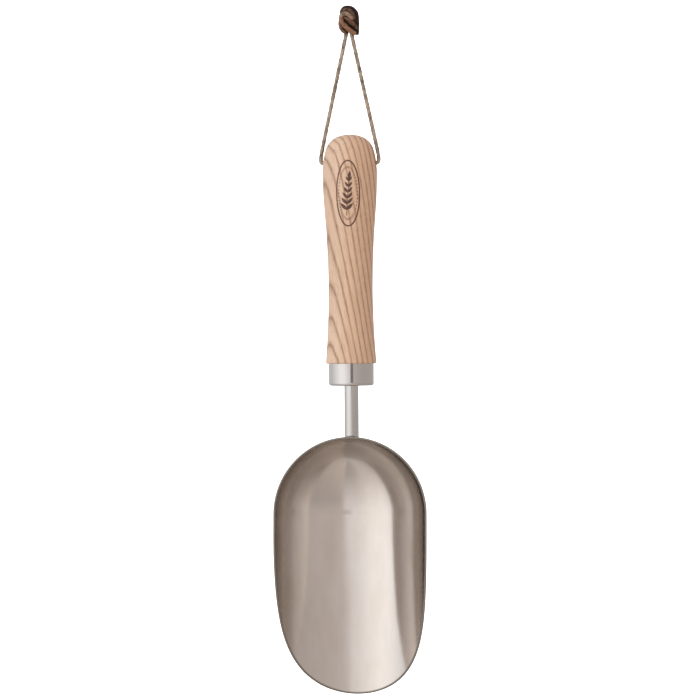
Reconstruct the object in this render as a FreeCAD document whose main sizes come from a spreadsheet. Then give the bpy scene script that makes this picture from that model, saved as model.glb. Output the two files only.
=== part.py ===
import FreeCAD, Part
import math
import os

import Sketcher
from FreeCAD import Placement, Rotation, Vector

# A hand compost scoop with a turned wooden handle and a leather hanging loop, as it hangs from a nail.
#
# The scoop is a pressed stainless sheet: a quarter-ball heel that runs on into a trough, with its lip cut
# back along two arcs that share a tangent.  A round rod is welded to the heel and glued as a tang into the
# ash handle, whose turned-down end sits in a stainless ferrule.  One leather thong runs through a hole
# across the handle, and its two ends are tied together in an overhand knot.
#
# Millimetres, +Z up, +X to the right and +Y away from a person who looks into the scoop.  The origin is the
# hanging point, at the top of the loop just under the knot.  The rod, ferrule and handle share the Z axis.

# Driving dimensions: alias, value in millimetres or degrees, and what it is.
SIZES = [
    ("loop_drop", 74.9, "hanging point to the middle of the thong in the handle"),
    ("thong_dia", 2.4, "leather thong, across"),
    ("thong_rise", 1.45, "thong's middle above the middle of the cross hole, where its pull seats it"),
    ("leg_gap", 1.25, "half the distance between the two legs where they leave the knot"),
    ("leg_spread", 17.6, "half the distance between the two legs beside the handle"),
    ("corner_run", 2.7, "length of the turn where the thong rounds the mouth of the cross hole"),
    ("corner_angle", 51.8, "degrees by which that turn leaves the cross hole"),
    ("knot_start", 1.8, "height of the knot's underside above the hanging point"),
    ("knot_width", 12.6, "knot, across"),
    ("knot_depth", 10.0, "knot, front to back"),
    ("knot_height", 16.4, "knot, from end to end"),
    ("knot_bite", 0.8, "length of the legs that starts inside the knot"),
    ("handle_length", 134.05, "handle, from its top to the ferrule"),
    ("handle_dia", 31.9, "handle at its widest, near the top"),
    ("waist_dia", 25.9, "handle at its waist"),
    ("waist_height", 42.0, "waist above the ferrule"),
    ("belly_height", 111.1, "widest place above the ferrule"),
    ("hole_height", 115.35, "middle of the cross hole above the ferrule"),
    ("swell_radius", 262.0, "radius of the long convex curve below the widest place"),
    ("heel_dia", 29.6, "handle just above the ferrule"),
    ("shoulder_dia", 28.6, "handle where the top's crown meets its shoulder"),
    ("shoulder_height", 124.7, "height of that place above the ferrule"),
    ("crown_dia", 16.4, "diameter of the nearly flat crown"),
    ("crown_height", 132.35, "height of the crown's rim above the ferrule"),
    ("dome_radius", 12.6, "radius between crown and shoulder"),
    ("shoulder_radius", 48.0, "radius between shoulder and the widest place"),
    ("hole_dia", 6.0, "cross hole for the thong"),
    ("hole_round", 0.8, "rounding of the cross hole's two mouths"),
    ("ferrule_dia", 26.5, "ferrule, outside"),
    ("ferrule_length", 12.9, "ferrule"),
    ("ferrule_wall", 0.9, "ferrule's wall and end"),
    ("ferrule_round", 1.6, "rounding of the ferrule's lower corner"),
    ("rod_dia", 8.4, "neck and tang"),
    ("rod_room", 0.15, "clearance of the rod in the ferrule's end, on the radius"),
    ("neck_length", 29.45, "ferrule to the top of the scoop's rim, along the axis"),
    ("tang_depth", 64.0, "tang inside the wood"),
    ("glue_gap", 0.35, "thickness of the adhesive round the tang"),
    ("glue_end", 2.5, "thickness of the adhesive over the tang's end"),
    ("weld_ring", 4.4, "radius of the ring along which the weld bead runs"),
    ("weld_radius", 1.9, "radius of the weld bead's round section"),
    ("scoop_width", 90.0, "scoop across its rim, outside"),
    ("scoop_draft", 7.64, "how far in front of the rim's plane the trough's axis lies"),
    ("trough_length", 160.0, "pressed trough, from the rim's top to where it ends before its lip is cut"),
    ("sheet", 1.2, "thickness of the scoop's sheet"),
    ("lip_start", 56.0, "straight part of the rim, from its top"),
    ("lip_run", 45.0, "length, along the trough, of the large arc that cuts the lip back"),
    ("lip_radius", 150.0, "radius of that arc"),
    ("tip_radius", 120.0, "radius of the arc that carries it on to the tip"),
    ("rim_round", 0.4, "rounding of the sheet's edges"),
    ("rim_forward", 9.5, "rim's top in front of the rod's axis"),
    ("scoop_lean", 4.0, "degrees by which the scoop's lip leans forward"),
    ("edge_round", 1.0, "rounding of the tang's end and of the handle's lower edge"),
    ("margin", 10.0, "how far a cutting outline reaches past what it cuts"),
]


# A turn of the thong's middle line starts and ends this share of the shorter run beside it from its corner.
TURN_SHARE = 0.45
SHORTEST_RUN = 1e-6


class Size:
    """A length or angle together with the expression on the sheet that it comes from."""

    def __init__(self, value, text):
        self.value = value
        self.text = text

    @staticmethod
    def of(other):
        return other if isinstance(other, Size) else Size(float(other), repr(float(other)))

    def joined(self, sign, other, value):
        return Size(value, f"({self.text} {sign} {Size.of(other).text})")

    def __add__(self, other):
        return self.joined("+", other, self.value + Size.of(other).value)

    def __sub__(self, other):
        return self.joined("-", other, self.value - Size.of(other).value)

    def __mul__(self, other):
        return self.joined("*", other, self.value * Size.of(other).value)

    def __truediv__(self, other):
        return self.joined("/", other, self.value / Size.of(other).value)

    def __neg__(self):
        return Size(-self.value, f"(0 - {self.text})")

    def root(self):
        return Size(math.sqrt(self.value), f"sqrt({self.text})")

    def sin(self):
        return Size(math.sin(math.radians(self.value)), f"sin({self.text} * 1 deg)")

    def cos(self):
        return Size(math.cos(math.radians(self.value)), f"cos({self.text} * 1 deg)")


ZERO = Size(0.0, "0")


def make_sheet(doc):
    """The spreadsheet of driving dimensions, and the same dimensions as Size values by alias."""
    sheet = doc.addObject("Spreadsheet::Sheet", "Dims")
    sizes = {}
    for row, (alias, value, meaning) in enumerate(SIZES, start=1):
        sheet.set(f"A{row}", meaning)
        sheet.set(f"B{row}", str(value))
        sheet.setAlias(f"B{row}", alias)
        sizes[alias] = Size(value, f"Dims.{alias}")
    doc.recompute()
    return sizes


class Outline:
    """A closed outline in a sketch: each corner is held by distances from the sketch's origin."""

    def __init__(self, body, plane, name):
        self.sketch = body.newObject("Sketcher::SketchObject", name)
        role = [f for f in body.Origin.OriginFeatures if f.Role == plane]
        self.sketch.AttachmentSupport = [(role[0], "")]
        self.sketch.MapMode = "FlatFace"

    def bind(self, constraint, size):
        index = self.sketch.addConstraint(constraint)
        self.sketch.setExpression(f"Constraints[{index}]", size.text)

    def pin(self, edge, end, along, up):
        """Holds one end of an edge at (along, up)."""
        for kind, size, axis in (("DistanceX", along, -2), ("DistanceY", up, -1)):
            if size is ZERO:
                self.sketch.addConstraint(Sketcher.Constraint("PointOnObject", edge, end, axis))
            else:
                self.bind(Sketcher.Constraint(kind, -1, 1, edge, end, size.value), size)

    def circle(self, along, up, diameter):
        centre = Vector(along.value, up.value, 0)
        edge = self.sketch.addGeometry(Part.Circle(centre, Vector(0, 0, 1), diameter.value / 2), False)
        self.pin(edge, 3, along, up)
        self.bind(Sketcher.Constraint("Diameter", edge, diameter.value), diameter)
        return self.sketch

    def closed(self, corners):
        """Corners are (along, up) or (along, up, radius, side): the edge that leaves such a corner is an
        arc of that radius, with its centre to the left of the way to the next corner (side 1) or right."""
        count = len(corners)
        ends = []
        for i, corner in enumerate(corners):
            start, stop = (Vector(c[0].value, c[1].value, 0) for c in (corner, corners[(i + 1) % count]))
            if len(corner) == 2:
                edge = self.sketch.addGeometry(Part.LineSegment(start, stop), False)
                ends.append((edge, 1, 2))
                continue
            radius, side = corner[2], corner[3]
            half = (stop - start) / 2
            across = Vector(-half.y, half.x, 0).normalize()
            reach = math.sqrt(radius.value**2 - half.Length**2)
            centre = start + half + across * reach * side
            first, last = (start, stop) if side > 0 else (stop, start)
            angles = [math.atan2(p.y - centre.y, p.x - centre.x) for p in (first, last)]
            circle = Part.Circle(centre, Vector(0, 0, 1), radius.value)
            edge = self.sketch.addGeometry(Part.ArcOfCircle(circle, *angles), False)
            ends.append((edge, 1, 2) if side > 0 else (edge, 2, 1))
            self.bind(Sketcher.Constraint("Radius", edge, radius.value), radius)
        for i, (edge, first, last) in enumerate(ends):
            following = ends[(i + 1) % count]
            joint = Sketcher.Constraint("Coincident", edge, last, following[0], following[1])
            self.sketch.addConstraint(joint)
            self.pin(edge, first, corners[i][0], corners[i][1])
        return self.sketch


def new_body(doc, label):
    body = doc.addObject("PartDesign::Body", label)
    body.Label = label
    return body


def turned(body, name, sketch, angle=360.0, kind="PartDesign::Revolution"):
    """Turns a sketch about the body's Z axis, half of the angle to each side of the sketch."""
    feature = body.newObject(kind, name)
    feature.Profile = sketch
    feature.ReferenceAxis = (sketch, ["V_Axis"])
    feature.Angle = angle
    feature.Midplane = True
    sketch.Visibility = False
    body.Document.recompute()
    return feature


def cut_through(body, name, sketch):
    """Cuts a sketch through the whole body, to both sides of the sketch, and makes sure that it cut."""
    before = body.Shape.Volume
    feature = body.newObject("PartDesign::Pocket", name)
    feature.Profile = sketch
    feature.Type = "ThroughAll"
    feature.Midplane = True
    body.Document.recompute()
    if body.Shape.Volume >= before:
        raise RuntimeError(f"{name} removed nothing")
    return feature


def round_edges(body, name, base, edges, radius):
    feature = body.newObject("PartDesign::Fillet", name)
    feature.Base = (base, edges)
    feature.Radius = radius.value
    feature.setExpression("Radius", radius.text)
    body.Document.recompute()
    return feature


def move(thing, along=None, up=None, tilt=None):
    """Binds the Y and Z of a placement and its turn about X, in degrees, to the sheet."""
    if tilt is not None:
        thing.Placement = Placement(Vector(), Rotation(Vector(1, 0, 0), 1.0))
        thing.setExpression("Placement.Rotation.Angle", f"({tilt.text}) * 1 deg")
    for axis, size in (("y", along), ("z", up)):
        if size is not None:
            thing.setExpression(f"Placement.Base.{axis}", size.text)


def make_scoop(doc, s, place):
    """The pressed bowl, drawn about the centre of its ball-shaped heel."""
    body = new_body(doc, "scoop_bowl")
    ball, inside, foot = place["ball"], place["ball"] - s["sheet"], place["trough_foot"]
    wall = Outline(body, "YZ_Plane", "wall_section").closed(
        [
            (ZERO, ball, ball, -1),
            (ball, ZERO),
            (ball, foot),
            (inside, foot),
            (inside, ZERO, inside, 1),
            (ZERO, inside),
        ]
    )
    turned(body, "pressed_sheet", wall, 180.0)

    draft, lip_top = s["scoop_draft"], s["scoop_width"] / 2 - s["lip_start"]
    above, front, behind, below = ball + s["margin"], -ball, ball + s["margin"], foot - s["margin"]
    # The large arc starts straight down from the rim. Where it ends, its tangent leads on to the tip's arc.
    run, radius, tip_radius = s["lip_run"], s["lip_radius"], s["tip_radius"]
    middle = (radius * radius - run * run).root()
    turn_at = (draft + radius - middle, lip_top - run)
    tip_middle = (turn_at[0] + middle * tip_radius / radius, turn_at[1] + run * tip_radius / radius)
    across = tip_middle[0] - behind
    lip_end = tip_middle[1] - (tip_radius * tip_radius - across * across).root()
    trim = Outline(body, "YZ_Plane", "rim_and_lip").closed(
        [
            (draft, above),
            (front, above),
            (front, below),
            (behind, below),
            (behind, lip_end, tip_radius, -1),
            (*turn_at, radius, -1),
            (draft, lip_top),
        ]
    )
    cut = cut_through(body, "trimmed", trim)
    edges = rim_edges(cut.Shape)
    round_edges(body, "rounded_edges", cut, edges, s["rim_round"])
    move(body, place["ball_y"], place["ball_z"], place["tilt"])
    return body


def rim_edges(shape):
    """Names of the edges where the cut rim and lip meet the sheet's inner and outer faces."""
    names = []
    for i, edge in enumerate(shape.Edges, start=1):
        kinds = [is_sheet(face.Surface) for face in shape.ancestorsOfType(edge, Part.Face)]
        if kinds in ([True, False], [False, True]):
            names.append(f"Edge{i}")
    return names


def is_sheet(surface):
    """Whether a surface is the sheet's ball or trough, and not its cut edge."""
    if surface.TypeId == "Part::GeomSphere":
        return True
    return surface.TypeId == "Part::GeomCylinder" and abs(surface.Axis.z) > abs(surface.Axis.x)


def make_heel_ball(doc, label, place):
    """A ball as large as the scoop's heel, that shapes what is welded to it."""
    ball = doc.addObject("Part::Sphere", label)
    ball.setExpression("Radius", place["ball"].text)
    move(ball, place["ball_y"], place["ball_z"])
    return ball


def make_rod_blank(doc, s, label, foot, top):
    """A length of the rod with its upper edge bevelled."""
    body = new_body(doc, label)
    radius, bevel = s["rod_dia"] / 2, s["edge_round"]
    section = Outline(body, "XZ_Plane", label + "_section").closed(
        [(ZERO, foot), (radius, foot), (radius, top - bevel), (radius - bevel, top), (ZERO, top)]
    )
    turned(body, label + "_turned", section)
    return body


def cut_out(doc, label, base, *tools):
    """The base less each of the tools; only the last cut has the part's own label."""
    for i, tool in enumerate(tools, start=1):
        last = i == len(tools)
        cut = doc.addObject("Part::Cut", label if last else f"{label}_cut_{i}")
        cut.Base = base
        cut.Tool = tool
        doc.recompute()
        if cut.Shape.Volume >= base.Shape.Volume:
            raise RuntimeError(f"{label}: cut {i} removed nothing")
        base = cut
    base.Label = label
    return base


def make_rod(doc, s, place):
    """Neck and tang: one straight rod with a rounded upper end, coped to the scoop's heel."""
    blank = make_rod_blank(doc, s, "rod_blank", place["ball_z"], place["tang_top"])
    return cut_out(doc, "neck_rod", blank, make_heel_ball(doc, "heel_for_rod", place))


def make_weld(doc, s, place):
    """The bead where the rod meets the heel: a ring square to the heel there, less heel and rod."""
    ring = doc.addObject("Part::Torus", "weld_ring")
    ring.setExpression("Radius1", s["weld_ring"].text)
    ring.setExpression("Radius2", s["weld_radius"].text)
    # The heel's face leans back under the rod by the angle whose sine is ball_y over the ball's radius.
    lean = Size(
        math.degrees(math.asin(place["ball_y"].value / place["ball"].value)),
        f"asin({place['ball_y'].text} / {place['ball'].text}) / 1 deg",
    )
    rise = (place["ball"] * place["ball"] - place["ball_y"] * place["ball_y"]).root()
    move(ring, up=place["ball_z"] + rise, tilt=lean)
    blank = make_rod_blank(doc, s, "rod_for_weld", place["ball_z"], place["ferrule_foot"])
    return cut_out(doc, "weld_bead", ring, make_heel_ball(doc, "heel_for_weld", place), blank)


def make_ferrule(doc, s, place):
    """A deep-drawn cup with a hole for the rod, pushed over the handle's turned-down end."""
    body = new_body(doc, "ferrule")
    outside, wall, foot = s["ferrule_dia"] / 2, s["ferrule_wall"], place["ferrule_foot"]
    hole, top, corner = s["rod_dia"] / 2 + s["rod_room"], place["handle_foot"], s["ferrule_round"]
    inside = outside - wall
    section = Outline(body, "XZ_Plane", "cup_section").closed(
        [
            (hole, foot),
            (outside - corner, foot, corner, 1),
            (outside, foot + corner),
            (outside, top),
            (inside, top),
            (inside, foot + corner, corner - wall, -1),
            (outside - corner, foot + wall),
            (hole, foot + wall),
        ]
    )
    turned(body, "drawn_cup", section)
    return body


def make_handle(doc, s, place):
    """The turned ash handle, with its spigot, tang bore and cross hole."""
    body = new_body(doc, "handle")
    foot, bore = place["handle_foot"], s["rod_dia"] / 2 + s["glue_gap"]
    spigot, spigot_foot = s["ferrule_dia"] / 2 - s["ferrule_wall"], place["ferrule_foot"] + s["ferrule_round"]
    heel, waist, belly, edge = s["heel_dia"] / 2, s["waist_dia"] / 2, s["handle_dia"] / 2, s["edge_round"]
    run = s["belly_height"] - s["waist_height"]
    # The crown is part of a ball whose middle is on the axis.
    half, rise = s["crown_dia"] / 2, s["handle_length"] - s["crown_height"]
    crown = (half * half + rise * rise) / (rise * 2)
    # The convex and the concave curve share a tangent where their radii divide the way between them.
    hollow = (run * run + (belly - waist) * (belly - waist)) / ((belly - waist) * 2) - s["swell_radius"]
    share = s["swell_radius"] / (s["swell_radius"] + hollow)
    section = Outline(body, "YZ_Plane", "turned_section").closed(
        [
            (bore, spigot_foot),
            (spigot, spigot_foot),
            (spigot, foot),
            (heel - edge, foot, edge, 1),
            (heel, foot + edge, hollow, -1),
            (waist, foot + s["waist_height"], hollow, -1),
            (belly - (belly - waist) * share, foot + s["belly_height"] - run * share, s["swell_radius"], 1),
            (belly, foot + s["belly_height"], s["shoulder_radius"], 1),
            (s["shoulder_dia"] / 2, foot + s["shoulder_height"], s["dome_radius"], 1),
            (s["crown_dia"] / 2, foot + s["crown_height"], crown, 1),
            (ZERO, foot + s["handle_length"]),
            (ZERO, place["bore_top"]),
            (bore, place["bore_top"]),
        ]
    )
    turned(body, "turned_blank", section)
    hole = Outline(body, "YZ_Plane", "cross_hole_circle").circle(ZERO, place["hole"], s["hole_dia"])
    cut = cut_through(body, "cross_hole", hole)
    round_edges(body, "eased_mouths", cut, mouth_edges(cut.Shape), s["hole_round"])
    return body


def mouth_edges(shape):
    """Names of the edges where the cross hole breaks the handle's skin."""
    names = []
    for i, edge in enumerate(shape.Edges, start=1):
        kinds = [bores_across(face.Surface) for face in shape.ancestorsOfType(edge, Part.Face)]
        if kinds in ([True, False], [False, True]):
            names.append(f"Edge{i}")
    return names


def bores_across(surface):
    """Whether a surface is a bore along X."""
    return surface.TypeId == "Part::GeomCylinder" and abs(surface.Axis.x) > abs(surface.Axis.z)


def make_glue(doc, s, place):
    """The cured adhesive that fills the bore round the tang and over its end."""
    foot = place["ferrule_foot"] + s["ferrule_round"]
    filling = doc.addObject("Part::Cylinder", "bore_filling")
    filling.setExpression("Radius", (s["rod_dia"] / 2 + s["glue_gap"]).text)
    filling.setExpression("Height", (place["bore_top"] - foot).text)
    move(filling, up=foot)
    tang = make_rod_blank(doc, s, "rod_for_adhesive", place["ferrule_foot"], place["tang_top"])
    return cut_out(doc, "tang_adhesive", filling, tang)


def thong_route(s):
    """The thong's middle line: down one leg, round the mouth of the cross hole, through it, and back up."""
    gap, spread, drop = s["leg_gap"].value, s["leg_spread"].value, s["loop_drop"].value
    turn, run = math.radians(s["corner_angle"].value), s["corner_run"].value
    corner = Vector(spread, 0, -drop + run * math.sin(turn))
    mouth = Vector(spread - run * math.cos(turn), 0, -drop)
    left = [Vector(gap, 0, s["knot_start"].value + s["knot_bite"].value), corner, mouth]
    return [Vector(-p.x, p.y, p.z) for p in left] + left[::-1]


def rounded_path(points):
    """Straight runs joined by arcs; each arc takes up TURN_SHARE of the shorter run beside it."""
    edges, start, radii = [], points[0], []
    for before, point, after in zip(points, points[1:], points[2:]):
        back, ahead = (before - point).normalize(), (after - point).normalize()
        reach = TURN_SHARE * min((before - point).Length, (after - point).Length)
        turn = math.pi - back.getAngle(ahead)
        radius = reach / math.tan(turn / 2)
        first, last = point + back * reach, point + ahead * reach
        inward = (back + ahead).normalize()
        middle = point + inward * (radius / math.cos(turn / 2) - radius)
        if (first - start).Length > SHORTEST_RUN:
            edges.append(Part.LineSegment(start, first).toShape())
        edges.append(Part.Arc(first, middle, last).toShape())
        start = last
        radii.append(round(radius, 2))
    edges.append(Part.LineSegment(start, points[-1]).toShape())
    return Part.Wire(edges), radii


def make_thong(doc, s):
    """The leather thong outside its knot: two legs and the run through the handle."""
    path, radii = rounded_path(thong_route(s))
    radius = s["thong_dia"].value / 2
    start = path.Edges[0].valueAt(path.Edges[0].FirstParameter)
    ring = Part.Wire(Part.makeCircle(radius, start, path.Edges[0].tangentAt(path.Edges[0].FirstParameter)))
    tube = path.makePipeShell([ring], True, False)
    share = tube.Volume / (math.pi * radius**2 * path.Length)
    print(f"thong: {path.Length:.1f} mm, arc radii {radii}, volume over section times length {share:.4f}")
    thong = doc.addObject("Part::Feature", "thong_tube")
    thong.Shape = tube
    return cut_out(doc, "leather_thong", thong, make_knot(doc, s, "knot_for_thong"))


def make_knot(doc, s, label="thong_knot"):
    """The outer shape of the overhand knot in which both ends of the thong are tied."""
    knot = doc.addObject("Part::Ellipsoid", label)
    for name, alias in (("Radius1", "knot_height"), ("Radius2", "knot_width"), ("Radius3", "knot_depth")):
        knot.setExpression(name, f"Dims.{alias} / 2")
    move(knot, up=s["knot_start"] + s["knot_height"] / 2)
    doc.recompute()
    return knot


def places(s):
    """Heights, and the place and turn of the scoop's ball, worked out from the driving dimensions."""
    hole = -(s["loop_drop"] + s["thong_rise"])
    handle_foot = hole - s["hole_height"]
    ferrule_foot = handle_foot - s["ferrule_length"]
    rim_top = ferrule_foot - s["neck_length"]
    half, draft, lean = s["scoop_width"] / 2, s["scoop_draft"], s["scoop_lean"]
    return {
        "hole": hole,
        "handle_foot": handle_foot,
        "ferrule_foot": ferrule_foot,
        "tang_top": handle_foot + s["tang_depth"],
        "bore_top": handle_foot + s["tang_depth"] + s["glue_end"],
        "ball": (half * half + draft * draft).root(),
        "tilt": -lean,
        # The rim's top is at (draft, half) from the ball's middle before the scoop is tilted.
        "ball_y": -s["rim_forward"] - draft * lean.cos() - half * lean.sin(),
        "ball_z": rim_top + draft * lean.sin() - half * lean.cos(),
        "trough_foot": half - s["trough_length"],
    }


def check(doc, parts):
    """Stops if any object of the document failed or a part isn't one valid set of closed solids."""
    for thing in doc.Objects:
        bad = [state for state in thing.State if state in ("Invalid", "Error")]
        if bad:
            raise RuntimeError(f"{thing.Label}: {bad}")
    for part in parts:
        shape = part.Shape
        if shape.isNull() or not shape.isValid() or not shape.Solids:
            raise RuntimeError(f"{part.Label} has no valid solid")
        box = shape.optimalBoundingBox(False)
        print(
            f"{part.Label}: {shape.Volume:.0f} mm3, x {box.XMin:.2f} to {box.XMax:.2f},"
            f" y {box.YMin:.2f} to {box.YMax:.2f}, z {box.ZMin:.2f} to {box.ZMax:.2f}"
        )


def main():
    doc = FreeCAD.newDocument("compost_scoop")
    s = make_sheet(doc)
    place = places(s)
    parts = [
        make_scoop(doc, s, place),
        make_rod(doc, s, place),
        make_weld(doc, s, place),
        make_ferrule(doc, s, place),
        make_handle(doc, s, place),
        make_glue(doc, s, place),
        make_thong(doc, s),
        make_knot(doc, s),
    ]
    doc.recompute()
    check(doc, parts)
    os.makedirs("parts", exist_ok=True)
    for part in parts:
        part.Shape.exportStep(f"parts/{part.Label}.step")


main()
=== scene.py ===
import math

import bmesh
import bpy
import numpy as np
from mathutils import Matrix, Vector


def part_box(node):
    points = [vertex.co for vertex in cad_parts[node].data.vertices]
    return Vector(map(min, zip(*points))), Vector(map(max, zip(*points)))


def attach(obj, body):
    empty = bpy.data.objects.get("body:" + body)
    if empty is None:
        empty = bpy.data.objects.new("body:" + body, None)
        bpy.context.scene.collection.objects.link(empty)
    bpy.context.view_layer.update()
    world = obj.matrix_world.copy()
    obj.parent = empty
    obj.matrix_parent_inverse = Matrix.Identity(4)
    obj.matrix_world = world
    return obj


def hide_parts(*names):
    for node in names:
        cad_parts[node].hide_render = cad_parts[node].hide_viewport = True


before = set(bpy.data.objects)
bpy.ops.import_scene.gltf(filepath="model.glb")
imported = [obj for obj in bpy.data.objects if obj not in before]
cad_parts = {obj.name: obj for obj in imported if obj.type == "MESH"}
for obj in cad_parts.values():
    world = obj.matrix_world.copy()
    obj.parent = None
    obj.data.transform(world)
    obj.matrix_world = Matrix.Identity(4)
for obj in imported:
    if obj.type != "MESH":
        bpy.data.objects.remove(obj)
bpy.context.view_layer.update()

# A hand compost scoop that hangs by its knotted leather loop in front of a white studio sweep.
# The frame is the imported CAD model, in metres: +Z up along the handle, -Y towards the camera, and the
# origin at the hanging point under the knot.

MM = 0.001

# The thong's route outside the knot, in metres: up the left leg, through the cross hole, up the right leg.
THONG_DIAMETER = 2.4 * MM
LEG_TOP = Vector((1.25, 0, 2.6)) * MM
LEG_FOOT = Vector((17.6, 0, -72.78)) * MM
HOLE_MOUTH = Vector((15.93, 0, -74.9)) * MM
HOLE_MIDDLE = Vector((9.0, 0, -74.9)) * MM
# A point of the straight leg, six diameters from the mouth of the hole.
LEG_LOW = LEG_FOOT.lerp(LEG_TOP, 6 * THONG_DIAMETER / (LEG_FOOT - LEG_TOP).length)
ROUTE_RIGHT = [LEG_TOP, LEG_LOW, LEG_FOOT, HOLE_MOUTH, HOLE_MIDDLE]

THONG_SIDES = 20
THONG_SQUARE = 3.2          # the power of the superellipse that is the thong's section
THONG_LUMPS = 40
THONG_STEP = 0.4 * MM
LOOP_SEED = 7
THONG_UNEVEN = 0.035
THONG_TURNS = 9
LEG_STAIN = -0.4            # a strand under -0.3 is greyer, and one above 0 darker
KNOT_TURNS = 0.6
KNOT_TAIL_BULGE = 0.25 * MM

# The knot's strands as they lie, in millimetres: radius, how darkly each is stained, and points of its
# middle. Where a strand's end doesn't show, it goes on inside the knot. The front arch's low value
# paints it paler, as a painted highlight.
KNOT_STRANDS = [
    # over the top from left to right and down to the right-hand tail
    (1.50, 1.0, [(-3.6, 1.6, 9.5), (-4.5, 0.9, 13.6), (-2.6, 0.2, 16.5), (1.2, 0.0, 16.6),
                 (4.3, 0.0, 13.6), (4.9, 0.1, 9.5), (4.7, 0.2, 5.4), (4.4, 0.3, 0.7)]),
    # beside it, nearer the front
    (1.45, 0.45, [(-4.0, 0.4, 9.0), (-4.3, -1.3, 13.0), (-2.0, -1.9, 15.0), (1.3, -2.0, 14.3),
                  (3.1, -2.0, 11.5), (2.9, -1.0, 7.5), (2.4, 0.0, 4.0)]),
    # the front arch under both; its low value paints it paler, as a painted highlight
    (1.40, -0.25, [(-4.2, 0.8, 8.0), (-4.9, -1.6, 11.0), (-2.6, -3.2, 12.9), (0.4, -3.4, 12.3),
                   (2.0, -2.6, 9.9), (1.5, -0.5, 7.0)]),
    # the left lobe, down into the left leg
    (1.45, 0.25, [(-0.6, -0.6, 10.6), (-3.2, -1.6, 10.6), (-4.8, -1.5, 8.2), (-4.6, -1.6, 5.2),
                  (-2.9, -1.5, 2.9), (-1.5, -0.5, 2.0), (-1.35, 0.0, 1.5)]),
    # two bands across the front, down to the right; the lower ends in the second tail
    (1.30, 0.3, [(-2.4, -1.2, 11.2), (-0.8, -3.2, 9.7), (1.4, -3.6, 7.9), (3.5, -2.6, 6.0),
                 (4.4, -0.6, 4.2)]),
    (1.45, 0.0, [(-4.0, -1.4, 10.0), (-3.4, -3.3, 7.2), (-0.9, -3.8, 4.4), (1.7, -3.2, 2.4),
                 (3.9, -2.0, 0.9)]),
    # the right leg, up behind the bands
    (1.35, 0.5, [(1.3, 0.0, 1.6), (1.9, -0.9, 4.2), (-0.6, -1.4, 7.0), (-1.4, -0.6, 9.6),
                 (-0.5, 0.8, 12.0)]),
    # its turn at the lower right, between the two tails
    (1.40, 0.9, [(-0.5, 0.2, 7.5), (1.8, -0.2, 5.6), (3.2, -0.6, 3.9), (3.7, -0.4, 2.2)]),
    # three strands across the back
    (1.45, 0.5, [(-4.4, 0.2, 7.2), (-2.8, 2.7, 5.6), (0.6, 3.3, 5.4), (3.6, 2.0, 6.8),
                 (4.4, 0.2, 9.0)]),
    (1.45, 0.4, [(-4.2, 0.6, 10.4), (-1.8, 2.9, 9.2), (1.5, 3.3, 8.2), (3.9, 1.6, 9.6),
                 (4.3, 0.3, 12.0)]),
    (1.40, 0.3, [(-1.2, 0.8, 2.6), (-1.2, 1.8, 6.0), (-0.7, 1.9, 10.0), (0.2, 1.9, 13.2),
                 (0.8, 0.4, 15.6)]),
]

ROD_SIDES = 72
ROD_BEVEL = 1.0 * MM
ROD_COPE = 4 * MM           # the height at its foot that the cope takes up

# The scoop's heel, rim and lip, measured in the scoop's own leaning frame from the middle of its ball.
SCOOP_LEAN = math.radians(4)
BALL_RADIUS = 45.64 * MM
RIM_ABOVE_BALL = 45.0 * MM
RIM_BEHIND_BALL = 7.64 * MM
LIP_BELOW_BALL = 11.0 * MM
LIP_RUN = 45.0 * MM
LIP_RADIUS = 150.0 * MM
TIP_RADIUS = 120.0 * MM

# The camera stands a little to the right of straight in front.
CAMERA_AZIMUTH = math.radians(7)
CAMERA_DISTANCE = 1.6
CAMERA_ROLL = math.radians(0.41)
CAMERA_TARGET = Vector((-0.66, 0, -183.7)) * MM
FIELD_WIDTH = 409.5 * MM


# ---------------------------------------------------------------- camera and thong

def make_camera():
    """The camera, aimed at the middle of the hanging tool from a little to its right."""
    data = bpy.data.cameras.new("camera")
    data.sensor_width = 36
    data.lens = data.sensor_width * CAMERA_DISTANCE / FIELD_WIDTH
    data.clip_end = 100
    camera = bpy.data.objects.new("camera", data)
    bpy.context.scene.collection.objects.link(camera)
    back = Vector((math.sin(CAMERA_AZIMUTH), -math.cos(CAMERA_AZIMUTH), 0))
    camera.location = CAMERA_TARGET + back * CAMERA_DISTANCE
    turn = (-back).to_track_quat("-Z", "Y").to_matrix().to_4x4() @ Matrix.Rotation(-CAMERA_ROLL, 4, "Z")
    camera.rotation_euler = turn.to_euler()
    bpy.context.scene.camera = camera


def link(name, mesh, body, material):
    """A new piece that rides on a body, with its material and the slot it takes its finish from."""
    piece = bpy.data.objects.new(name, mesh)
    bpy.context.scene.collection.objects.link(piece)
    mesh.materials.append(material)
    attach(piece, body)
    return piece


def read_line(points, resolution=24):
    """Points along the smooth NURBS spline whose control points these are."""
    curve = bpy.data.curves.new("route", "CURVE")
    curve.dimensions = "3D"
    curve.resolution_u = resolution
    spline = curve.splines.new("NURBS")
    spline.points.add(len(points) - 1)
    for place, point in zip(spline.points, points):
        place.co = (*point, 1)
    spline.order_u = 3
    spline.use_endpoint_u = True
    holder = bpy.data.objects.new("route", curve)
    mesh = bpy.data.meshes.new_from_object(holder)
    line = np.array([v.co for v in mesh.vertices])
    bpy.data.objects.remove(holder)
    bpy.data.curves.remove(curve)
    bpy.data.meshes.remove(mesh)
    return line


def evenly(line, step):
    """The same line with its points a fixed step apart."""
    along = np.concatenate([[0], np.cumsum(np.linalg.norm(np.diff(line, axis=0), axis=1))])
    wanted = np.linspace(0, along[-1], max(2, round(along[-1] / step) + 1))
    return np.stack([np.interp(wanted, along, line[:, i]) for i in range(3)], axis=1)


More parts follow.
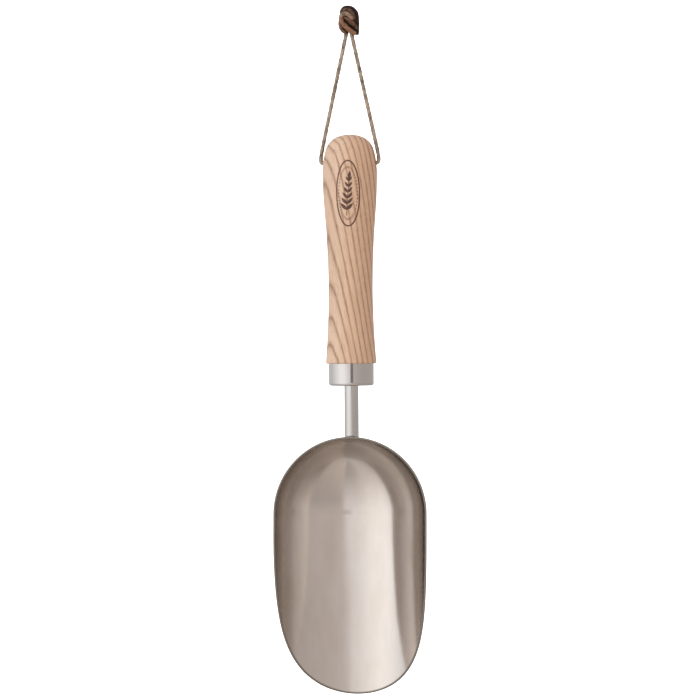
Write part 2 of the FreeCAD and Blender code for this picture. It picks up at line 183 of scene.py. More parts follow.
def frames_along(line):
    """Tangents, and side vectors that turn with the line as little as they can."""
    tangents = np.gradient(line, axis=0)
    tangents /= np.linalg.norm(tangents, axis=1)[:, None]
    side = np.cross(tangents[0], (0, 1, 0))
    side = side / np.linalg.norm(side)
    sides = [side]
    for tangent in tangents[1:]:
        side = side - tangent * np.dot(side, tangent)
        side = side / np.linalg.norm(side)
        sides.append(side)
    return tangents, np.array(sides)


def add_strand(mesh, line, radius, turns, seed, bulge, stain_and_highlight):
    """Adds a rounded square thong with closed ends to a bmesh, swept along a line and twisted."""
    tangents, sides = frames_along(line)
    ups = np.cross(tangents, sides)
    share = np.linspace(0, 1, len(line))
    swell = np.random.default_rng(seed).uniform(-1, 1, THONG_LUMPS)
    swell = 1 + THONG_UNEVEN * np.interp(share, np.linspace(0, 1, THONG_LUMPS), swell)
    angles = np.linspace(0, 2 * math.pi, THONG_SIDES, endpoint=False)
    power = THONG_SQUARE
    corners = np.abs(np.cos(angles)) ** power + np.abs(np.sin(angles)) ** power
    square = corners ** (-1 / power)
    reach = radius * square / square.max()
    stain_and_highlight_layer = mesh.verts.layers.float["stain_and_highlight"]
    rings = []
    for i, place in enumerate(line):
        turned = angles + 2 * math.pi * turns * share[i]
        offsets = np.outer(np.cos(turned), sides[i]) + np.outer(np.sin(turned), ups[i])
        rings.append([mesh.verts.new(place + o * r * swell[i]) for o, r in zip(offsets, reach)])
        for vertex in rings[-1]:
            vertex[stain_and_highlight_layer] = stain_and_highlight
    for low, high in zip(rings, rings[1:]):
        for k in range(THONG_SIDES):
            after = (k + 1) % THONG_SIDES
            mesh.faces.new((low[k], low[after], high[after], high[k]))
    for ring, way, end in ((rings[0], -1, 0), (rings[-1], 1, -1)):
        centre = mesh.verts.new(line[end] + tangents[end] * way * bulge)
        centre[stain_and_highlight_layer] = stain_and_highlight
        for k in range(THONG_SIDES):
            pair = (ring[k], ring[(k + 1) % THONG_SIDES])
            mesh.faces.new((*pair[::-way], centre))


def smooth_mesh(mesh, name):
    """The bmesh as a mesh with smooth faces."""
    data = bpy.data.meshes.new(name)
    mesh.to_mesh(data)
    mesh.free()
    for face in data.polygons:
        face.use_smooth = True
    return data


def make_thong(leather):
    """The loop outside the knot, from one leg through the cross hole to the other."""
    route = [Vector((-p.x, p.y, p.z)) for p in ROUTE_RIGHT] + ROUTE_RIGHT[::-1]
    line = evenly(read_line(route), THONG_STEP)
    mesh = bmesh.new()
    mesh.verts.layers.float.new("stain_and_highlight")
    add_strand(mesh, line, THONG_DIAMETER / 2, THONG_TURNS, LOOP_SEED, 0.0, LEG_STAIN)
    bmesh.ops.recalc_face_normals(mesh, faces=mesh.faces)
    thong = link("thong_loop", smooth_mesh(mesh, "thong_loop"), "hanging_loop", leather)
    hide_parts("leather_thong")


def make_knot(leather):
    """The knot, strand by strand."""
    mesh = bmesh.new()
    mesh.verts.layers.float.new("stain_and_highlight")
    for seed, (radius, stain_and_highlight, points) in enumerate(KNOT_STRANDS):
        line = read_line([Vector(p) * MM for p in points], resolution=12)
        add_strand(mesh, line, radius * MM, KNOT_TURNS, seed, KNOT_TAIL_BULGE, stain_and_highlight)
    bmesh.ops.recalc_face_normals(mesh, faces=mesh.faces)
    knot = link("knot_strands", smooth_mesh(mesh, "knot_strands"), "hanging_loop", leather)
    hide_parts("thong_knot")


# ---------------------------------------------------------------- rod

def make_rod(material):
    """The round rod: coped at its foot to the ball-shaped heel, bevelled at the tang's end."""
    low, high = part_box("neck_rod")
    ball = scoop_ball()
    bevel = ROD_BEVEL
    mesh = bmesh.new()
    angles = np.linspace(0, 2 * math.pi, ROD_SIDES, endpoint=False)

    def ring(radius, height):
        """Corners round the rod at one radius, each at the height that height(y, x) gives."""
        places = [(radius * math.cos(a), radius * math.sin(a)) for a in angles]
        return [mesh.verts.new((x, y, height(y, x))) for x, y in places]

    def cope(y, x):
        """Height of the heel's ball at a place."""
        return ball.z + math.sqrt(BALL_RADIUS ** 2 - x ** 2 - (y - ball.y) ** 2)

    rings = [ring(high.x * share, cope) for share in (0.02, 0.25, 0.5, 0.75, 1.0)]
    neck = np.linspace(low.z + ROD_COPE, high.z - bevel, 30)
    rings += [ring(high.x, lambda y, x, z=z: z) for z in neck]
    rings += [ring(share, lambda y, x: high.z) for share in (high.x - bevel, 0.02 * high.x)]
    for lower, upper in zip(rings, rings[1:]):
        for k in range(ROD_SIDES):
            after = (k + 1) % ROD_SIDES
            mesh.faces.new((lower[k], lower[after], upper[after], upper[k]))
    mesh.faces.new(rings[0][::-1])
    mesh.faces.new(rings[-1])
    bmesh.ops.recalc_face_normals(mesh, faces=mesh.faces)
    data = smooth_mesh(mesh, "round_rod")
    data.set_sharp_from_angle(angle=math.radians(35))
    rod = link("round_rod", data, "scoop", material)
    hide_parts("neck_rod")


# ---------------------------------------------------------------- handle

MARK_BEARING = math.radians(2.6)        # from straight in front, positive to the right
MARK_HEIGHT = -92.8 * MM
MARK_HALF_WIDTH = 6.9 * MM
MARK_HALF_HEIGHT = 18.9 * MM
MARK_LINE = 1.05 * MM
MARK_FINE_HALF = 11 * MM
MARK_BOW = 0.9 * MM          # how far the stem bends to each side
MARK_BOW_RUN = 9 * MM
BURN_DEPTH = 0.14 * MM
FINE_STEP = 0.24 * MM
COARSE_STEP = 1.1 * MM
HOLE_RADIUS = 3.0 * MM
HOLE_SIDES = 48
THONG_ABOVE_HOLE = 1.45 * MM            # from the hole's middle up to the thong's


def turned_profile(node):
    """Radius and height of a turned CAD node's outside, from its top down, away from its cross hole."""
    bore_radius = 6 * MM
    crown_depth = 1.8 * MM
    points = np.array([v.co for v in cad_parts[node].data.vertices])
    radius = np.hypot(points[:, 0], points[:, 1])
    top = points[:, 2].max()
    outside = (radius > bore_radius) | (points[:, 2] > top - crown_depth)
    aside = (np.abs(points[:, 1]) > 0.6 * radius) | (radius < 0.1 * MM)
    rows = {}
    for r, z in zip(radius[outside & aside], points[outside & aside][:, 2]):
        key = round(z / (0.02 * MM))
        rows[key] = max(rows.get(key, (0, z)), (r, z))
    profile = np.array([rows[key] for key in sorted(rows, reverse=True)])
    # The shoulder that sits on the ferrule is flat: two radii at one height.
    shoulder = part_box("ferrule")[1].z
    above = profile[profile[:, 1] > shoulder - 0.01 * MM]
    spigot = profile[-1]
    return np.vstack([above, (spigot[0], shoulder), spigot])


def steps(stops, fine_from, fine_to):
    """Values from the first stop to the last: fine steps between two of them and coarse ones elsewhere."""
    values = [stops[0]]
    while values[-1] < stops[1]:
        fine = fine_from < values[-1] < fine_to
        values.append(values[-1] + (FINE_STEP if fine else COARSE_STEP))
    values[-1] = stops[1]
    return np.array(values)


def almond(u, v, base, lean, length, width):
    """How deep each point lies in a leaf that grows from base, leaning by an angle from upright."""
    du, dv = u - base[0], v - base[1]
    along = (du * math.sin(lean) + dv * math.cos(lean)) / length
    across = du * math.cos(lean) - dv * math.sin(lean)
    inside = np.clip(along, 0, 1)
    half = width / 2 * np.sin(math.pi * inside ** 0.8)
    blur = 0.16 * MM
    vein = np.clip(np.abs(across) / blur, 0, 1) * 0.5 + 0.5
    depth = np.where((along > 0) & (along < 1), half - np.abs(across), -1.0 * MM)
    return np.clip(depth / blur + 0.5, 0, 1) * vein


def burnt_mark(u, v):
    """Strength of the burnt mark at points of the handle's front: an oval line round a leafy sprig."""
    oval = np.hypot(u / MARK_HALF_WIDTH, v / MARK_HALF_HEIGHT)
    stretch = np.hypot(u / MARK_HALF_WIDTH ** 2, v / MARK_HALF_HEIGHT ** 2) / np.maximum(oval, 1e-6)
    ring = np.clip(1.2 - np.abs(oval - 1) / np.maximum(stretch, 1e-9) / (MARK_LINE / 2), 0, 1)
    bow = MARK_BOW * np.sin(v / MARK_BOW_RUN)
    stem = np.clip(1.3 - np.abs(u - bow) / (0.24 * MM), 0, 1) * (v > -13 * MM) * (v < 8.5 * MM)
    mark = np.maximum(ring, stem)
    for i in range(6):
        foot = (-9.6 + 3.3 * i) * MM
        base = (MARK_BOW * math.sin(foot / MARK_BOW_RUN), foot)
        size = 1 - 0.075 * i
        for side in (-1, 1):
            leaf = almond(u, v, base, side * math.radians(44 - 2 * i), 5.6 * MM * size, 1.9 * MM * size)
            mark = np.maximum(mark, leaf)
    base = (MARK_BOW * math.sin(8 / 9), 8 * MM)
    tip = almond(u, v, base, math.radians(6), 5.2 * MM, 1.8 * MM)
    mark = np.maximum(mark, tip)
    # A row of small burnt dots follows the oval inside it, where there are no leaves.
    angle = np.arctan2(v / MARK_HALF_HEIGHT, u / MARK_HALF_WIDTH)
    beat = np.abs((angle / math.radians(8.0)) % 1 - 0.5)
    dots = np.clip(1.4 - np.hypot((oval - 0.80) / 0.045, beat / 0.26), 0, 1)
    return np.clip(np.maximum(mark, dots * 0.85), 0, 1)


def handle_mesh():
    """The turned handle, finely divided round its burnt mark, with the bore for the tang."""
    profile = turned_profile("handle")
    along = np.concatenate([[0], np.cumsum(np.hypot(*np.diff(profile, axis=0).T))])
    at_mark = np.interp(-MARK_HEIGHT, -profile[:, 1], along)
    reach = MARK_HALF_HEIGHT + 1.5 * MM
    down = steps((0.0, along[-1]), at_mark - reach, at_mark + reach)[1:]
    ferrule_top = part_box("ferrule")[1].z
    foot = along[np.argmax(profile[:, 1] < ferrule_top + 3 * MM)]
    down = np.concatenate([down[down < foot - COARSE_STEP / 2], along[along >= foot]])
    radius = np.interp(down, along, profile[:, 0])
    height = np.interp(down, along, profile[:, 1])
    weights = np.hanning(11)[1:-1] / np.hanning(11)[1:-1].sum()
    smooth = np.convolve(np.pad(radius, 4, "edge"), weights, "valid")
    calm = (height < profile[0, 1] - 8 * MM) & (height > ferrule_top + 4 * MM)
    radius = np.where(calm, smooth, radius)
    widest = radius.max()
    across_mark = MARK_BEARING * widest
    around = steps((-math.pi * widest, math.pi * widest), across_mark - MARK_FINE_HALF,
                   across_mark + MARK_FINE_HALF)[:-1] / widest
    mesh = bmesh.new()
    burn = mesh.verts.layers.float.new("burn")
    top = mesh.verts.new((0, 0, profile[0, 1]))
    grid = []
    for r, z in zip(radius, height):
        u = (around - MARK_BEARING) * r
        mark = burnt_mark(u, np.full_like(u, z - MARK_HEIGHT))
        ring = []
        for bearing, strength in zip(around, mark):
            reach = r - BURN_DEPTH * strength
            vertex = mesh.verts.new((reach * math.sin(bearing), -reach * math.cos(bearing), z))
            vertex[burn] = strength
            ring.append(vertex)
        grid.append(ring)
    count = len(around)
    for k in range(count):
        after = (k + 1) % count
        mesh.faces.new((top, grid[0][k], grid[0][after]))
        for upper, lower in zip(grid, grid[1:]):
            mesh.faces.new((upper[k], lower[k], lower[after], upper[after]))
    add_bore(mesh, grid[-1])
    bmesh.ops.recalc_face_normals(mesh, faces=mesh.faces)
    data = smooth_mesh(mesh, "ash_handle")
    data.set_sharp_from_angle(angle=math.radians(40))
    return data


def add_bore(mesh, foot):
    """Closes a turned mesh at its foot with the bore for the tang, as wide and deep as its adhesive."""
    low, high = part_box("tang_adhesive")
    radius = high.x
    rings = [foot]
    for z in (low.z, high.z):
        ring = []
        for vertex in foot:
            bearing = math.atan2(vertex.co.x, -vertex.co.y)
            ring.append(mesh.verts.new((radius * math.sin(bearing), -radius * math.cos(bearing), z)))
        rings.append(ring)
    for outer, inner in zip(rings, rings[1:]):
        for k in range(len(foot)):
            after = (k + 1) % len(foot)
            mesh.faces.new((outer[k], inner[k], inner[after], outer[after]))
    end = mesh.verts.new((0, 0, high.z))
    for k in range(len(foot)):
        mesh.faces.new((rings[-1][k], end, rings[-1][(k + 1) % len(foot)]))


def hole_cutter():
    """A round bar along X whose ends flare, to cut the cross hole and ease its mouths."""
    middle = HOLE_MOUTH.z - THONG_ABOVE_HOLE
    flare = [(13.6, 0.0), (14.6, 0.03), (15.2, 0.16), (15.6, 0.42), (15.95, 0.95), (16.6, 2.4), (19, 8)]
    half = [(x * MM, HOLE_RADIUS + out * MM) for x, out in flare]
    profile = [(-x, r) for x, r in reversed(half)] + half
    mesh = bmesh.new()
    rings = []
    for x, r in profile:
        rings.append([mesh.verts.new((x, r * math.cos(a), middle + r * math.sin(a)))
                      for a in np.linspace(0, 2 * math.pi, HOLE_SIDES, endpoint=False)])
    for left, right in zip(rings, rings[1:]):
        for k in range(HOLE_SIDES):
            after = (k + 1) % HOLE_SIDES
            mesh.faces.new((left[k], right[k], right[after], left[after]))
    mesh.faces.new(rings[0])
    mesh.faces.new(rings[-1][::-1])
    bmesh.ops.recalc_face_normals(mesh, faces=mesh.faces)
    data = bpy.data.meshes.new("hole_cutter")
    mesh.to_mesh(data)
    mesh.free()
    return data


def cut_away(mesh, cutter_mesh):
    """The mesh less the cutter's solid."""
    blank = bpy.data.objects.new("blank", mesh)
    cutter = bpy.data.objects.new("cutter", cutter_mesh)
    for thing in (blank, cutter):
        bpy.context.scene.collection.objects.link(thing)
    boolean = blank.modifiers.new("hole", "BOOLEAN")
    boolean.operation = "DIFFERENCE"
    boolean.solver = "EXACT"
    boolean.object = cutter
    depsgraph = bpy.context.evaluated_depsgraph_get()
    result = bpy.data.meshes.new_from_object(blank.evaluated_get(depsgraph))
    for thing in (blank, cutter):
        bpy.data.objects.remove(thing)
    return result


def make_handle(material):
    """The ash handle with its cross hole."""
    mesh = cut_away(handle_mesh(), hole_cutter())
    mesh.materials.clear()
    handle = link("ash_handle", mesh, "scoop", material)
    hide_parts("handle")


# ---------------------------------------------------------------- materials

class Nodes:
    """Short ways to add and join a material's nodes."""

    def __init__(self, name):
        self.material = bpy.data.materials.new(name)
        self.material.use_nodes = True
        self.tree = self.material.node_tree
        self.shader = self.tree.nodes["Principled BSDF"]

    def add(self, kind, inputs=None, **values):
        """A node whose inputs are values or other nodes' sockets."""
        node = self.tree.nodes.new(kind)
        for key, value in values.items():
            setattr(node, key, value)
        for key, value in (inputs or {}).items():
            if hasattr(value, "links"):
                self.tree.links.new(value, node.inputs[key])
            else:
                node.inputs[key].default_value = value
        return node

    def math(self, operation, *values):
        node = self.add("ShaderNodeMath", dict(enumerate(values)), operation=operation)
        return node.outputs[0]

    def place(self):
        return self.add("ShaderNodeTexCoord").outputs["Object"]

    def mapped(self, vector, **inputs):
        values = {key.capitalize(): value for key, value in inputs.items()}
        return self.add("ShaderNodeMapping", {"Vector": vector, **values}).outputs[0]

    def noise(self, vector, scale, detail=3, roughness=0.5):
        values = {"Vector": vector, "Scale": scale, "Detail": detail, "Roughness": roughness}
        return self.add("ShaderNodeTexNoise", values).outputs["Fac"]

    def ramp(self, value, *stops):
        node = self.add("ShaderNodeValToRGB", {"Fac": value})
        elements = node.color_ramp.elements
        while len(elements) < len(stops):
            elements.new(0.5)
        for element, (position, colour) in zip(elements, stops):
            element.position = position
            element.color = (*colour, 1) if len(colour) == 3 else colour
        return node.outputs["Color"]

    def mix(self, factor, first, second):
        node = self.add("ShaderNodeMix", data_type="RGBA")
        sockets = {0: factor, 6: first, 7: second}
        for index, value in sockets.items():
            if hasattr(value, "links"):
                self.tree.links.new(value, node.inputs[index])
            elif index:
                node.inputs[index].default_value = (*value, 1)
            else:
                node.inputs[index].default_value = value
        return node.outputs[2]

    def span(self, value, low, high, to_low=0.0, to_high=1.0):
        """A value mapped from one range to another, and held at its ends."""
        values = {"Value": value, "From Min": low, "From Max": high, "To Min": to_low, "To Max": to_high}
        return self.add("ShaderNodeMapRange", values).outputs["Result"]

    def bump(self, height, strength, distance, normal=None):
        values = {"Height": height, "Strength": strength, "Distance": distance}
        if normal is not None:
            values["Normal"] = normal
        return self.add("ShaderNodeBump", values).outputs["Normal"]

    def finish(self, **inputs):
        """Sets the shader's inputs and returns the material."""
        for key, value in inputs.items():
            socket = self.shader.inputs[key.replace("_", " ")]
            if hasattr(value, "links"):
                self.tree.links.new(value, socket)
            else:
                socket.default_value = value
        return self.material


def grey(value):
    return (value, value, value)


def leather_material():
    """Waxed leather, rubbed paler on its faces; a vertex attribute says how dark a strand is, and the paler
    tone it gives the front arch is a painted highlight. Crevices are darkened with painted shade.
    """
    n = Nodes("leather")
    place = n.place()
    grain = n.noise(place, 2600, 4, 0.6)
    patches = n.noise(place, 330, 3, 0.6)
    stain_and_highlight = n.add("ShaderNodeAttribute", attribute_name="stain_and_highlight").outputs["Fac"]
    dark = n.math("MULTIPLY", n.math("MAXIMUM", stain_and_highlight, 0.05), 0.45)
    worn = n.math("SUBTRACT", n.math("ADD", patches, n.math("MULTIPLY", grain, 0.5)), dark)
    # The paler tone is the legs' own grey leather, and on the front arch a painted highlight.
    pale_tone_and_highlight = n.mix(n.span(stain_and_highlight, -0.3, -0.2), (0.40, 0.31, 0.235), (0.26, 0.125, 0.068))
    colour = n.mix(n.span(worn, 0.42, 0.84), (0.012, 0.005, 0.003), pale_tone_and_highlight)
    colour = n.mix(n.span(grain, 0.45, 0.75, 0.0, 0.5), colour, (0.012, 0.006, 0.004))
    # Painted shade: places close to other strands are darkened almost to black in the colour.
    painted_crevice_shade = n.add("ShaderNodeAmbientOcclusion", {"Distance": 2.2 * MM}, samples=8).outputs["AO"]
    colour = n.mix(n.span(painted_crevice_shade, 0.25, 0.75), (0.006, 0.003, 0.002), colour)
    height = n.math("ADD", grain, patches)
    return n.finish(Base_Color=colour, Roughness=n.span(grain, 0.3, 0.7, 0.34, 0.55),
                    Specular_IOR_Level=0.22, Normal=n.bump(height, 0.6, 0.10 * MM))


RINGS_PER_METRE = 290.0


def ash_material():
    """Oiled ash: growth rings round a far pith that leans across the handle, pores, a burnt mark, and
    painted shade that darkens and warms its right side.
    """
    n = Nodes("ash")
    place = n.place()
    drawn_out = n.mapped(place, scale=(42, 42, 9))
    wander = n.add("ShaderNodeTexNoise", {"Vector": drawn_out, "Scale": 1.0, "Detail": 2,
                                          "Roughness": 0.45}).outputs["Color"]
    bent = n.add("ShaderNodeVectorMath", {0: wander, 1: (0.5, 0.5, 0.5)}, operation="SUBTRACT").outputs[0]
    bent = n.add("ShaderNodeVectorMath", {0: bent, "Scale": 0.0055}, operation="SCALE").outputs[0]
    bent = n.add("ShaderNodeVectorMath", {0: place, 1: bent}, operation="ADD").outputs[0]
    x, y, z = n.add("ShaderNodeSeparateXYZ", {0: bent}).outputs
    away = []
    grain = []
    for value, at_hanging_point, drift in ((x, -0.150, -0.21), (y, -0.062, 0.03)):
        pith = n.math("MULTIPLY_ADD", z, drift, at_hanging_point)
        off_pith = n.math("SUBTRACT", value, pith)
        grain.append(off_pith)
        away.append(n.math("POWER", off_pith, 2.0))
    distance = n.math("SQRT", n.math("ADD", *away))
    year = n.math("FRACT", n.math("MULTIPLY", distance, RINGS_PER_METRE))
    late = n.ramp(year, (0.0, grey(1.0)), (0.06, grey(0.45)), (0.22, grey(0.08)), (0.66, grey(0.05)),
                  (0.86, grey(0.4)), (1.0, grey(1.0)))
    along = n.add("ShaderNodeCombineXYZ", {0: grain[0], 1: grain[1], 2: z}).outputs[0]
    fibre = n.noise(n.mapped(along, scale=(1100, 1100, 36)), 1.0, 4, 0.65)
    pores = n.noise(n.mapped(along, scale=(2300, 2300, 110)), 1.0, 2, 0.5)
    tone = n.noise(n.mapped(place, location=(3, 1, 2), scale=(48, 48, 10)), 1.0, 2, 0.5)
    colour = n.mix(tone, (0.62, 0.455, 0.345), (0.56, 0.375, 0.255))
    # Painted shade: the handle's right side is darkened and warmed in its colour.
    right = n.span(n.math("ADD", x, n.math("MULTIPLY", tone, 6 * MM)), -4 * MM, 18 * MM, 0.0, 0.55)
    colour = n.mix(right, colour, (0.58, 0.33, 0.19))
    broken_late = n.math("MULTIPLY", late, n.span(fibre, 0.25, 0.65, 0.5, 1.0))
    colour = n.mix(broken_late, colour, (0.20, 0.088, 0.040))
    colour = n.mix(n.span(fibre, 0.50, 0.78, 0.0, 0.45), colour, (0.31, 0.18, 0.105))
    pits = n.math("MULTIPLY", n.span(pores, 0.56, 0.64), n.span(late, 0.1, 0.7, 0.35, 1.0))
    colour = n.mix(n.math("MULTIPLY", pits, 0.65), colour, (0.20, 0.095, 0.05))
    burn = n.add("ShaderNodeAttribute", attribute_name="burn").outputs["Fac"]
    uneven = n.noise(place, 1400, 3, 0.6)
    ragged = n.math("MULTIPLY", n.math("SUBTRACT", uneven, 0.5), 0.9)
    burnt = n.span(n.math("ADD", burn, ragged), 0.30, 0.85)
    burnt = n.math("MULTIPLY", burnt, n.span(burn, 0.02, 0.2))
    scorch = n.math("MULTIPLY", n.span(burn, 0.0, 0.4), 0.6)
    colour = n.mix(scorch, colour, (0.28, 0.12, 0.06))
    colour = n.mix(n.math("MULTIPLY", burnt, 0.95), colour, (0.038, 0.011, 0.006))
    sunk = n.math("ADD", pits, n.math("MULTIPLY", late, 0.5))
    height = n.math("SUBTRACT", n.math("MULTIPLY", fibre, 0.4), sunk)
    return n.finish(Base_Color=colour, Roughness=n.span(fibre, 0.2, 0.8, 0.42, 0.58),
                    Normal=n.bump(height, 0.35, 0.08 * MM))


def steel_material(name, colour, rough, wave=0.0, scratch=0.3, along=(1, 1, 1), edge=None):
    """Stainless steel with fine rubbing marks that run along one direction, and slow waves in its sheet.
    Where edge is given, it returns how near a place is to the sheet's cut edge, which is duller."""
    n = Nodes(name)
    place = n.place()
    marks = n.noise(n.mapped(place, scale=[1000 * a for a in along]), 1.0, 5, 0.7)
    cloud = n.noise(n.mapped(place, scale=(60, 60, 24)), 1.0, 3, 0.55)
    tint = n.mix(n.span(cloud, 0.35, 0.65), colour, [c * f for c, f in zip(colour, (0.92, 0.90, 0.87))])
    waves = n.noise(place, 26, 1, 0.4)
    normal = n.bump(waves, wave, 1.0 * MM)
    normal = n.bump(marks, scratch, 0.01 * MM, normal)
    roughness = n.span(n.math("ADD", n.math("MULTIPLY", cloud, 0.5), n.math("MULTIPLY", marks, 0.5)),
                       0.3, 0.7, rough * 0.8, rough * 1.2)
    if edge is not None:
        near = edge(n, place)
        tint = n.mix(near, tint, (0.22, 0.195, 0.17))
        roughness = n.math("MAXIMUM", roughness, n.math("MULTIPLY", near, 0.45))
    return n.finish(Base_Color=tint, Metallic=1.0, Roughness=roughness, Normal=normal)


def scoop_ball():
    """The middle of the scoop's ball-shaped heel."""
    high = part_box("scoop_bowl")[1]
    rise = RIM_ABOVE_BALL * math.cos(SCOOP_LEAN) - RIM_BEHIND_BALL * math.sin(SCOOP_LEAN)
    return Vector((0, high.y - BALL_RADIUS, high.z - rise))


def cut_edge(n, place):
    """1 on the scoop's cut edge and 0 a little way off it."""
    ball = scoop_ball()
    moved = n.add("ShaderNodeVectorMath", {0: place, 1: tuple(ball)}, operation="SUBTRACT").outputs[0]
    parts = n.add("ShaderNodeSeparateXYZ", {0: n.mapped(moved, rotation=(SCOOP_LEAN, 0, 0))}).outputs
    middle = math.sqrt(LIP_RADIUS ** 2 - LIP_RUN ** 2)
    share = TIP_RADIUS / LIP_RADIUS
    lip = (RIM_BEHIND_BALL + LIP_RADIUS, -LIP_BELOW_BALL)
    tip = (lip[0] - middle * (1 - share), lip[1] - LIP_RUN * (1 - share))

    def depth(centre, radius):
        """How far a place is inside one of the lip's two arcs."""
        below = n.math("MINIMUM", n.math("SUBTRACT", parts[2], centre[1]), 0.0)
        behind = n.math("SUBTRACT", parts[1], centre[0])
        reach = n.math("SQRT", n.math("ADD", n.math("POWER", behind, 2.0), n.math("POWER", below, 2.0)))
        return n.math("SUBTRACT", radius, reach)

    on_tip = n.math("LESS_THAN", parts[2], -LIP_BELOW_BALL - LIP_RUN)
    arcs = {2: depth(lip, LIP_RADIUS), 3: depth(tip, TIP_RADIUS)}
    inward = n.add("ShaderNodeMix", {0: on_tip, **arcs}).outputs[0]
    return n.span(inward, 0.7 * MM, 0.25 * MM)


def dress(node, material):
    """Gives a carried-over CAD node its material."""
    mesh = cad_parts[node].data
    mesh.materials.clear()
    mesh.materials.append(material)


# ---------------------------------------------------------------- studio

STUDIO_STRENGTH = 4.0
LAMP_SIZE = 1.2
LAMP_POWER = 8


def make_studio():
    """A white sweep all round, and the light that the steel mirrors."""
    scene = bpy.context.scene
    scene.view_settings.view_transform = "Standard"
    sweep = make_sweep()
    make_world(scene)
    make_lamp("key", (-1.3, -1.9, 0.6))
    make_lamp("fill", (1.6, -1.7, 0.3))


def make_sweep():
    """A round floor that curves up into a wall, far enough out to stay behind the camera in any view."""
    floor, wall, bend, top = -0.62, 7.0, 2.0, 6.0
    profile = [(0.0, floor)]
    profile += [(wall - bend + bend * math.sin(a), floor + bend * (1 - math.cos(a)))
                for a in np.linspace(0, math.pi / 2, 13)]
    profile.append((wall, top))
    mesh = bpy.data.meshes.new("studio_floor")
    shape = bmesh.new()
    ring = [shape.verts.new((r, 0, z)) for r, z in profile]
    edges = [shape.edges.new(pair) for pair in zip(ring, ring[1:])]
    bmesh.ops.spin(shape, geom=ring + edges, cent=(0, 0, 0), axis=(0, 0, 1), dvec=(0, 0, 0),
                   angle=2 * math.pi, steps=96, use_duplicate=False)
    bmesh.ops.remove_doubles(shape, verts=shape.verts, dist=1e-5)
    shape.to_mesh(mesh)
    shape.free()
    for face in mesh.polygons:
        face.use_smooth = True
    n = Nodes("studio_white")
    mesh.materials.append(n.finish(Base_Color=(0.9, 0.9, 0.9, 1), Emission_Color=(1, 1, 1, 1),
                                   Emission_Strength=1.0))
    sweep = bpy.data.objects.new("studio_floor", mesh)
    bpy.context.scene.collection.objects.link(sweep)
    for ray in ("diffuse", "glossy", "transmission", "shadow"):
        setattr(sweep, f"visible_{ray}", False)
    return sweep


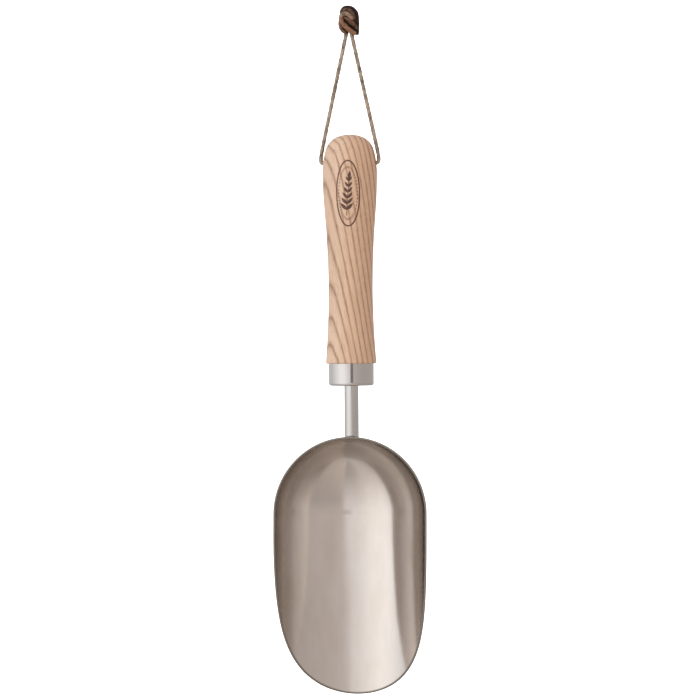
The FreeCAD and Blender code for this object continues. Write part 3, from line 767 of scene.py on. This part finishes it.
def make_world(scene):
    """Studio surroundings by direction: a bright screen on the left, a dimmer one on the right, a dark gap
    straight ahead of the scoop, and a brown floor."""
    world = bpy.data.worlds.new("studio")
    scene.world = world
    world.use_nodes = True
    tree = world.node_tree
    tree.nodes.clear()

    def add(kind, inputs, **values):
        node = tree.nodes.new(kind)
        for key, value in values.items():
            setattr(node, key, value)
        for key, value in inputs.items():
            if hasattr(value, "links"):
                tree.links.new(value, node.inputs[key])
            else:
                node.inputs[key].default_value = value
        return node

    def ramp(value, stops):
        node = add("ShaderNodeValToRGB", {"Fac": value})
        elements = node.color_ramp.elements
        while len(elements) < len(stops):
            elements.new(0.5)
        for element, (position, colour) in zip(elements, stops):
            element.position = position
            element.color = (*colour, 1)
        return node.outputs["Color"]

    direction = add("ShaderNodeTexCoord", {}).outputs["Generated"]
    parts = add("ShaderNodeSeparateXYZ", {0: direction}).outputs
    # Bearing 0 is straight ahead of the scoop's hollow (-Y), positive to the right.
    flipped = add("ShaderNodeMath", {0: parts[1], 1: -1.0}, operation="MULTIPLY").outputs[0]
    bearing = add("ShaderNodeMath", {0: parts[0], 1: flipped}, operation="ARCTAN2").outputs[0]
    # The two screens meet further to the right higher up.
    level = add("ShaderNodeMapRange", {"Value": parts[2], "From Min": -1.0, "From Max": 1.0}).outputs[0]
    slant = add("ShaderNodeFloatCurve", {"Value": level})
    curve = slant.mapping.curves[0]
    bends = ((-1, 14), (0.0, 14), (0.012, 0), (0.027, 2), (0.056, 8), (0.075, 13), (1, 13))
    for height, degrees in bends[1:-1]:
        curve.points.new(0.5 + height / 2, 0.5 + degrees / 360)
    for point, (height, degrees) in zip(curve.points, bends):
        point.location = (0.5 + height / 2, 0.5 + degrees / 360)
        point.handle_type = "VECTOR"
    slant.mapping.update()
    half_turns = {"Value": bearing, "From Min": -math.pi, "From Max": math.pi}
    share = add("ShaderNodeMapRange", half_turns).outputs[0]
    share = add("ShaderNodeMath", {0: share, 1: slant.outputs[0]}, operation="SUBTRACT").outputs[0]
    share = add("ShaderNodeMath", {0: share, 1: 0.5}, operation="ADD").outputs[0]

    def at(degrees):
        return 0.5 + degrees / 360

    def times(first, second):
        return add("ShaderNodeMix", {0: 1.0, 6: first, 7: second}, data_type="RGBA",
                   blend_type="MULTIPLY").outputs[2]

    left = ramp(share, [
        (at(-180), grey(0.19)), (at(-120), grey(0.24)), (at(-85), grey(0.34)),
        (at(-60), (0.415, 0.412, 0.41)), (at(-40), (0.40, 0.397, 0.395)), (at(-20), (0.31, 0.306, 0.304)),
        (at(-2.5), (0.285, 0.28, 0.277)), (at(2.5), grey(0.0)),
    ])
    right = ramp(share, [
        (at(-2.5), grey(0.0)), (at(2.5), (0.215, 0.20, 0.191)), (at(25), (0.195, 0.180, 0.170)),
        (at(60), (0.180, 0.168, 0.160)), (at(110), (0.18, 0.172, 0.167)), (at(179), grey(0.19)),
        (at(180), grey(0.0)),
    ])
    left_height = ramp(level, [
        (0.0, (0.50, 0.47, 0.44)), (0.08, (0.56, 0.53, 0.50)), (0.23, (0.75, 0.73, 0.71)),
        (0.35, (0.86, 0.85, 0.84)), (0.53, grey(1.0)), (0.85, grey(1.0)), (1.0, grey(0.9)),
    ])
    right_height = ramp(level, [
        (0.0, (1.0, 0.96, 0.92)), (0.08, (0.96, 0.93, 0.90)), (0.23, (0.86, 0.85, 0.84)),
        (0.35, (0.81, 0.81, 0.81)), (0.53, grey(1.0)), (0.85, grey(1.0)), (1.0, grey(0.95)),
    ])
    light = add("ShaderNodeMix", {0: 1.0, 6: times(left, left_height), 7: times(right, right_height)},
                data_type="RGBA", blend_type="ADD").outputs[2]
    # A dark gap between the screens, at the height of the ferrule.
    beside = ramp(share, [(at(-13), grey(0)), (at(-10), grey(1)), (at(1), grey(1)), (at(4), grey(0))])
    low = add("ShaderNodeMapRange", {"Value": parts[2], "From Min": -0.018, "From Max": -0.014}).outputs[0]
    high = add("ShaderNodeMapRange", {"Value": parts[2], "From Min": 0.0, "From Max": -0.003}).outputs[0]
    gap = add("ShaderNodeMath", {0: beside, 1: low}, operation="MULTIPLY").outputs[0]
    gap = add("ShaderNodeMath", {0: gap, 1: high}, operation="MULTIPLY").outputs[0]
    light = add("ShaderNodeMix", {0: gap, 6: light, 7: (0.06, 0.05, 0.047, 1)}, data_type="RGBA").outputs[2]
    background = add("ShaderNodeBackground", {"Color": light, "Strength": STUDIO_STRENGTH})
    output = add("ShaderNodeOutputWorld", {})
    tree.links.new(background.outputs[0], output.inputs[0])


def make_lamp(name, place):
    """A round lamp aimed at the tool, seen neither directly nor in the steel."""
    data = bpy.data.lights.new(name, "AREA")
    data.shape = "DISK"
    data.size = LAMP_SIZE
    data.energy = LAMP_POWER
    lamp = bpy.data.objects.new(name, data)
    bpy.context.scene.collection.objects.link(lamp)
    lamp.location = place
    aim = Vector((0, 0, -0.15)) - lamp.location
    lamp.rotation_euler = aim.to_track_quat("-Z", "Y").to_euler()
    lamp.visible_camera = False
    lamp.visible_glossy = False


def main():
    """Makes the camera and the thong first, then the other pieces and the studio."""
    make_camera()
    leather = leather_material()
    make_thong(leather)
    dress("scoop_bowl", steel_material("satin_steel", (0.575, 0.53, 0.50), 0.15, wave=0.3,
                                       along=(0.9, 0.9, 0.1), edge=cut_edge))
    make_rod(steel_material("rod_steel", (0.50, 0.485, 0.475), 0.08, scratch=0.15, along=(1, 1, 0.04)))
    dress("weld_bead", steel_material("weld_steel", (0.42, 0.39, 0.36), 0.28))
    dress("ferrule", steel_material("ferrule_steel", (0.52, 0.50, 0.495), 0.045, scratch=0.08,
                                    along=(0.06, 0.06, 1)))
    make_handle(ash_material())
    make_knot(leather)
    epoxy = Nodes("epoxy")
    dress("tang_adhesive", epoxy.finish(Base_Color=(0.55, 0.46, 0.28, 1), Roughness=0.3))
    make_studio()


main()
